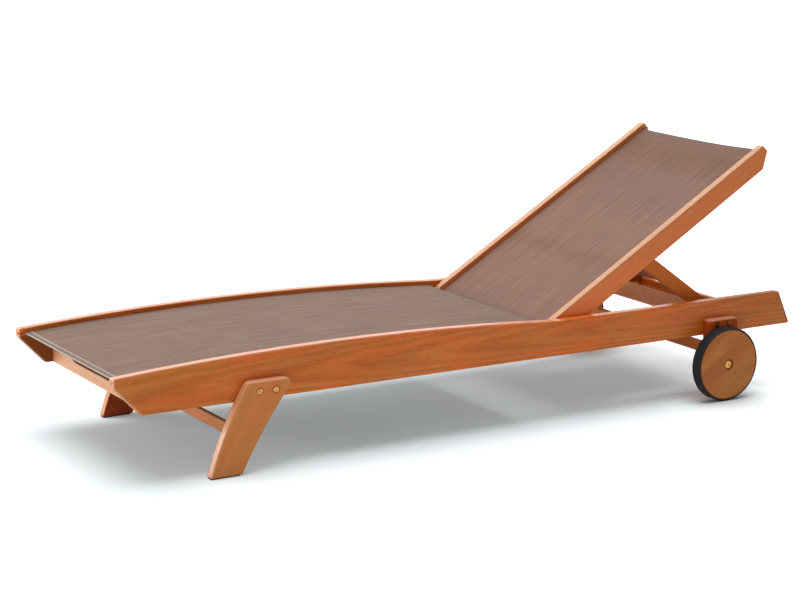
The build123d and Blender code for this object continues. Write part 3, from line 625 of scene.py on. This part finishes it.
def makeSling(name, values, point):
    path = hemPath(values)
    mesh = bpy.data.meshes.new(name)
    shape = bmesh.new()
    uvLayer = shape.loops.layers.uv.new("flatCloth")
    lengths = [0.0]
    for (runA, liftA), (runB, liftB) in zip(path, path[1:]):
        lengths.append(lengths[-1] + math.hypot(runB - runA, liftB - liftA))
    sides = [values["halfSpan"] * (2 * k / values["across"] - 1) for k in range(values["across"] + 1)]
    grid = [[shape.verts.new(point(run, side, lift)) for side in sides] for run, lift in path]
    for row in range(len(path) - 1):
        for column in range(values["across"]):
            corners = [(row, column), (row + 1, column), (row + 1, column + 1), (row, column + 1)]
            face = shape.faces.new([grid[r][c] for r, c in corners])
            face.smooth = True
            for loop, (r, c) in zip(face.loops, corners):
                loop[uvLayer].uv = (sides[c], lengths[r])
    shape.normal_update()
    shape.to_mesh(mesh)
    shape.free()
    mesh.materials.append(makeCloth(name, lengths[-1], values))
    piece = bpy.data.objects.new(name, mesh)
    scene.collection.objects.link(piece)
    wall = piece.modifiers.new("clothWall", "SOLIDIFY")
    wall.thickness = values["thick"]
    wall.offset = 0.0
    flat = (2 * values["halfSpan"], lengths[-1])
    return piece, flat


seatSling, seatFlat = makeSling("seatSlingCloth", seatSet, seatPoint)
backSling, backFlat = makeSling("backSlingCloth", backSet, backPoint)
print("slings made, flat", [round(v, 4) for v in seatFlat + backFlat])


# hem stitching: short thread loops laid along a line across the cloth
stitchSet = {
    "spacing": 0.0042, "long": 0.0034, "thick": 0.0011,
    "lift": 0.1,                        # of the thread's middle above the cloth, by its thickness
    "seatFront": [-0.9712, -0.9694, -0.9676],
    "seatRear": [0.1905, 0.1887, 0.1869],
    "back": [-0.009, 0.761],
    "margin": 0.008,                    # free cloth at each end of a line
    "lineSteps": 32,
}


def makeStitchTree():
    tree = bpy.data.node_groups.new("hemStitches", "GeometryNodeTree")
    face = tree.interface
    face.new_socket("Geometry", in_out="INPUT", socket_type="NodeSocketGeometry")
    sizes = {}
    for label in ("Spacing", "Stitch Long", "Stitch Thick"):
        sizes[label] = face.new_socket(label, in_out="INPUT", socket_type="NodeSocketFloat").identifier
    sizes["Thread"] = face.new_socket("Thread", in_out="INPUT", socket_type="NodeSocketMaterial").identifier
    face.new_socket("Geometry", in_out="OUTPUT", socket_type="NodeSocketGeometry")
    wires = Wires(tree)
    given = wires.add("NodeGroupInput").outputs
    line = wires.add("GeometryNodeMeshToCurve", {0: given["Geometry"]}).outputs[0]
    spots = wires.add("GeometryNodeResampleCurve", {"Curve": line, "Length": given["Spacing"]},
                      mode="LENGTH").outputs[0]
    bead = wires.add("GeometryNodeMeshUVSphere", {"Segments": 8, "Rings": 5, "Radius": 0.5}).outputs[0]
    size = wires.add("ShaderNodeCombineXYZ", {0: given["Stitch Long"], 1: given["Stitch Thick"],
                                             2: given["Stitch Thick"]}).outputs[0]
    thread = wires.add("GeometryNodeTransform", {"Geometry": bead, "Scale": size}).outputs[0]
    heading = wires.add("GeometryNodeInputTangent").outputs[0]
    aim = wires.add("FunctionNodeAlignRotationToVector", {"Vector": heading}, axis="X").outputs[0]
    laid = wires.add("GeometryNodeInstanceOnPoints",
                     {"Points": spots, "Instance": thread, "Rotation": aim}).outputs[0]
    real = wires.add("GeometryNodeRealizeInstances", {0: laid}).outputs[0]
    worn = wires.add("GeometryNodeSetMaterial", {"Geometry": real, "Material": given["Thread"]}).outputs[0]
    wires.add("NodeGroupOutput", {0: worn})
    return tree, sizes


stitchTree, stitchSockets = makeStitchTree()


def acrossLines(point, values, runs, lift):
    # guide lines from edge to edge of a cloth, one for each place along its length
    points, edges = [], []
    steps = stitchSet["lineSteps"]
    reach = values["halfSpan"] - stitchSet["margin"]
    for run in runs:
        start = len(points)
        points += [point(run, reach * (2 * k / steps - 1), lift) for k in range(steps + 1)]
        edges += [(start + k, start + k + 1) for k in range(steps)]
    return points, edges


def growAlong(name, tree, inputs, lines):
    mesh = bpy.data.meshes.new(name + "Line")
    mesh.from_pydata(*lines, [])
    guide = bpy.data.objects.new(name + "Line", mesh)
    scene.collection.objects.link(guide)
    grown = guide.modifiers.new("grown", "NODES")
    grown.node_group = tree
    for key, value in inputs.items():
        grown[key] = value
    ready = guide.evaluated_get(bpy.context.evaluated_depsgraph_get())
    made = bpy.data.meshes.new_from_object(ready)
    made.name = name
    bpy.data.objects.remove(guide)
    for face in made.polygons:
        face.use_smooth = True
    piece = bpy.data.objects.new(name, made)
    scene.collection.objects.link(piece)
    return piece


def makeStitches(name, point, values, runs, thread):
    sizes = {stitchSockets["Spacing"]: stitchSet["spacing"], stitchSockets["Stitch Long"]: stitchSet["long"],
             stitchSockets["Stitch Thick"]: stitchSet["thick"], stitchSockets["Thread"]: thread}
    lift = values["thick"] / 2 + stitchSet["thick"] * stitchSet["lift"]
    return growAlong(name, stitchTree, sizes, acrossLines(point, values, runs, lift))


seatStitches = makeStitches("seatHemStitches", seatPoint, seatSet, stitchSet["seatFront"], paleThread)
seatRearStitches = makeStitches("seatRearStitches", seatPoint, seatSet, stitchSet["seatRear"], duskThread)
backStitches = makeStitches("backHemStitches", backPoint, backSet, stitchSet["back"], brownThread)
print("hems sewn")


# piping along the folded ends of the seat
pipingSet = {"radius": 0.0013, "front": -0.9830, "rear": 0.1940, "lift": -0.0008}


def makePipingTree():
    tree = bpy.data.node_groups.new("hemPiping", "GeometryNodeTree")
    face = tree.interface
    face.new_socket("Geometry", in_out="INPUT", socket_type="NodeSocketGeometry")
    sizes = {"Radius": face.new_socket("Radius", in_out="INPUT", socket_type="NodeSocketFloat").identifier,
             "Cord": face.new_socket("Cord", in_out="INPUT", socket_type="NodeSocketMaterial").identifier}
    face.new_socket("Geometry", in_out="OUTPUT", socket_type="NodeSocketGeometry")
    wires = Wires(tree)
    given = wires.add("NodeGroupInput").outputs
    line = wires.add("GeometryNodeMeshToCurve", {0: given["Geometry"]}).outputs[0]
    ring = wires.add("GeometryNodeCurvePrimitiveCircle",
                     {"Resolution": 10, "Radius": given["Radius"]}).outputs[0]
    cord = wires.add("GeometryNodeCurveToMesh",
                     {"Curve": line, "Profile Curve": ring, "Fill Caps": True}).outputs[0]
    soft = wires.add("GeometryNodeSetShadeSmooth", {"Geometry": cord}).outputs[0]
    real = wires.add("GeometryNodeRealizeInstances", {0: soft}).outputs[0]
    worn = wires.add("GeometryNodeSetMaterial", {"Geometry": real, "Material": given["Cord"]}).outputs[0]
    wires.add("NodeGroupOutput", {0: worn})
    return tree, sizes


pipingTree, pipingSockets = makePipingTree()


def makePiping(name, run, cord):
    sizes = {pipingSockets["Radius"]: pipingSet["radius"], pipingSockets["Cord"]: cord}
    return growAlong(name, pipingTree, sizes, acrossLines(seatPoint, seatSet, [run], pipingSet["lift"]))


# the grey cord at the front fold is partly a painted highlight of the lit fold
seatPiping = makePiping("seatHemPiping", pipingSet["front"], greyCord)
seatRearPiping = makePiping("seatRearPiping", pipingSet["rear"], duskThread)
print("hems piped")

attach(seatSling, "frame")
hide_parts("seat_sling")
seatTrims = [seatStitches, seatRearStitches, seatPiping, seatRearPiping]
for trim in seatTrims:
    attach(trim, "frame")
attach(backSling, "backrest")
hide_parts("back_sling")
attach(backStitches, "backrest")


# studio: a white floor that runs into a white surround, a lamp above and soft boxes behind
studioSet = {
    "floorHalf": 60.0,
    "floorTop": -0.0004,            # just clear of the feet
    "floorShade": (0.85, 0.905, 0.92),
    # painted light on the floor: a glow seen only by the camera, weaker and cool under the lounger to lift its
    # shadow, stronger and white further out
    "floorGlow": (0.19, 0.60),      # under the lounger and far from it
    "glowMiddle": -0.25,
    "glowSqueeze": 0.62,            # the glow's rings are longer than wide
    "glowReach": (0.58, 0.95),
    "glowTint": (0.80, 1.0, 1.05),
    "wheelFoot": (0.744, 0.345, 0.0),
    "wheelDark": (0.04, 0.17),      # the glow gives way here to the wheels' own shadow
    "lampFrom": (-0.10, 0.06, 0.99),
    "lampStrength": 2.15,
    "lampSpread": 48.0,
    "lampAway": 5.0,
    "surround": 0.34,
    "surroundGloss": 0.45,
    "boxes": {
        # name: place, aim, width, height, power, whether it also lights matt surfaces
        "rearWall": ((0.8, 4.6, 1.7), (0.8, 0.0, 0.4), 8.0, 2.0, 60.0, False),
        "rearTop": ((0.6, 4.0, 3.4), (0.4, 0.0, 0.3), 8.0, 2.4, 220.0, False),
        "footBox": ((-3.6, 2.4, 0.65), (-0.8, 0.0, 0.2), 3.0, 1.2, 80.0, True),
    },
}


def makeStudio(values):
    half, top = values["floorHalf"], values["floorTop"]
    mesh = bpy.data.meshes.new("studioFloor")
    mesh.from_pydata([(-half, -half, top), (half, -half, top), (half, half, top), (-half, half, top)],
                     [], [(0, 1, 2, 3)])
    floor = bpy.data.objects.new("studioFloor", mesh)
    scene.collection.objects.link(floor)
    paper = bpy.data.materials.new("whitePaper")
    paper.use_nodes = True
    paper.node_tree.nodes.clear()
    wires = Wires(paper.node_tree)
    matt = wires.add("ShaderNodeBsdfDiffuse", {"Color": (*values["floorShade"], 1.0)}).outputs[0]
    seen = wires.add("ShaderNodeLightPath").outputs["Is Camera Ray"]
    spot = wires.add("ShaderNodeTexCoord").outputs["Object"]
    squeeze = values["glowSqueeze"]
    place = wires.turned(spot, place=(-squeeze * values["glowMiddle"], 0, 0), scale=(squeeze, 1.0, 1.0))
    away = wires.add("ShaderNodeVectorMath", {0: place}, operation="LENGTH").outputs["Value"]
    level = wires.span(away, *values["glowReach"], *values["floorGlow"])
    across = wires.add("ShaderNodeSeparateXYZ", {0: spot}).outputs
    folded = wires.add("ShaderNodeCombineXYZ", {0: across[0], 1: wires.math("ABSOLUTE", across[1])}).outputs[0]
    near = wires.add("ShaderNodeVectorMath", {0: folded, 1: values["wheelFoot"]},
                     operation="DISTANCE").outputs["Value"]
    level = wires.math("MULTIPLY", level, wires.span(near, *values["wheelDark"], 0.0, 1.0))
    clearing = wires.span(away, *values["glowReach"], 0.0, 1.0)
    tint = wires.mixed(clearing, (*values["glowTint"], 1.0), (1.0, 1.0, 1.0, 1.0))
    # painted light: the floor glows for the camera only
    strength = wires.math("MULTIPLY", seen, level)
    glow = wires.add("ShaderNodeEmission", {"Color": tint, "Strength": strength}).outputs[0]
    both = wires.add("ShaderNodeAddShader", {0: matt, 1: glow}).outputs[0]
    wires.add("ShaderNodeOutputMaterial", {"Surface": both})
    mesh.materials.append(paper)

    lampData = bpy.data.lights.new("broadLamp", "SUN")
    lampData.energy = values["lampStrength"]
    lampData.angle = math.radians(values["lampSpread"])
    lamp = bpy.data.objects.new("broadLamp", lampData)
    lamp.rotation_euler = Vector(values["lampFrom"]).to_track_quat("Z", "Y").to_euler()
    lamp.location = Vector(values["lampFrom"]) * values["lampAway"]
    scene.collection.objects.link(lamp)

    for name, (place, aim, wide, high, power, full) in values["boxes"].items():
        boxData = bpy.data.lights.new(name, "AREA")
        boxData.shape = "RECTANGLE"
        boxData.size, boxData.size_y = wide, high
        boxData.energy = power
        box = bpy.data.objects.new(name, boxData)
        box.location = place
        box.visible_diffuse = full
        box.rotation_euler = (Vector(place) - Vector(aim)).to_track_quat("Z", "Y").to_euler()
        scene.collection.objects.link(box)

    surround = bpy.data.worlds.new("studioSurround")
    surround.use_nodes = True
    surround.node_tree.nodes.clear()
    wires = Wires(surround.node_tree)
    ray = wires.add("ShaderNodeLightPath").outputs
    clear = wires.math("MAXIMUM", ray["Is Camera Ray"], ray["Is Transmission Ray"])
    level = wires.span(ray["Is Glossy Ray"], 0.0, 1.0, values["surround"], values["surroundGloss"])
    level = wires.math("MAXIMUM", clear, level)
    light = wires.add("ShaderNodeBackground", {"Color": (1.0, 1.0, 1.0, 1.0), "Strength": level}).outputs[0]
    wires.add("ShaderNodeOutputWorld", {"Surface": light})
    scene.world = surround


makeStudio(studioSet)
print("studio lit")
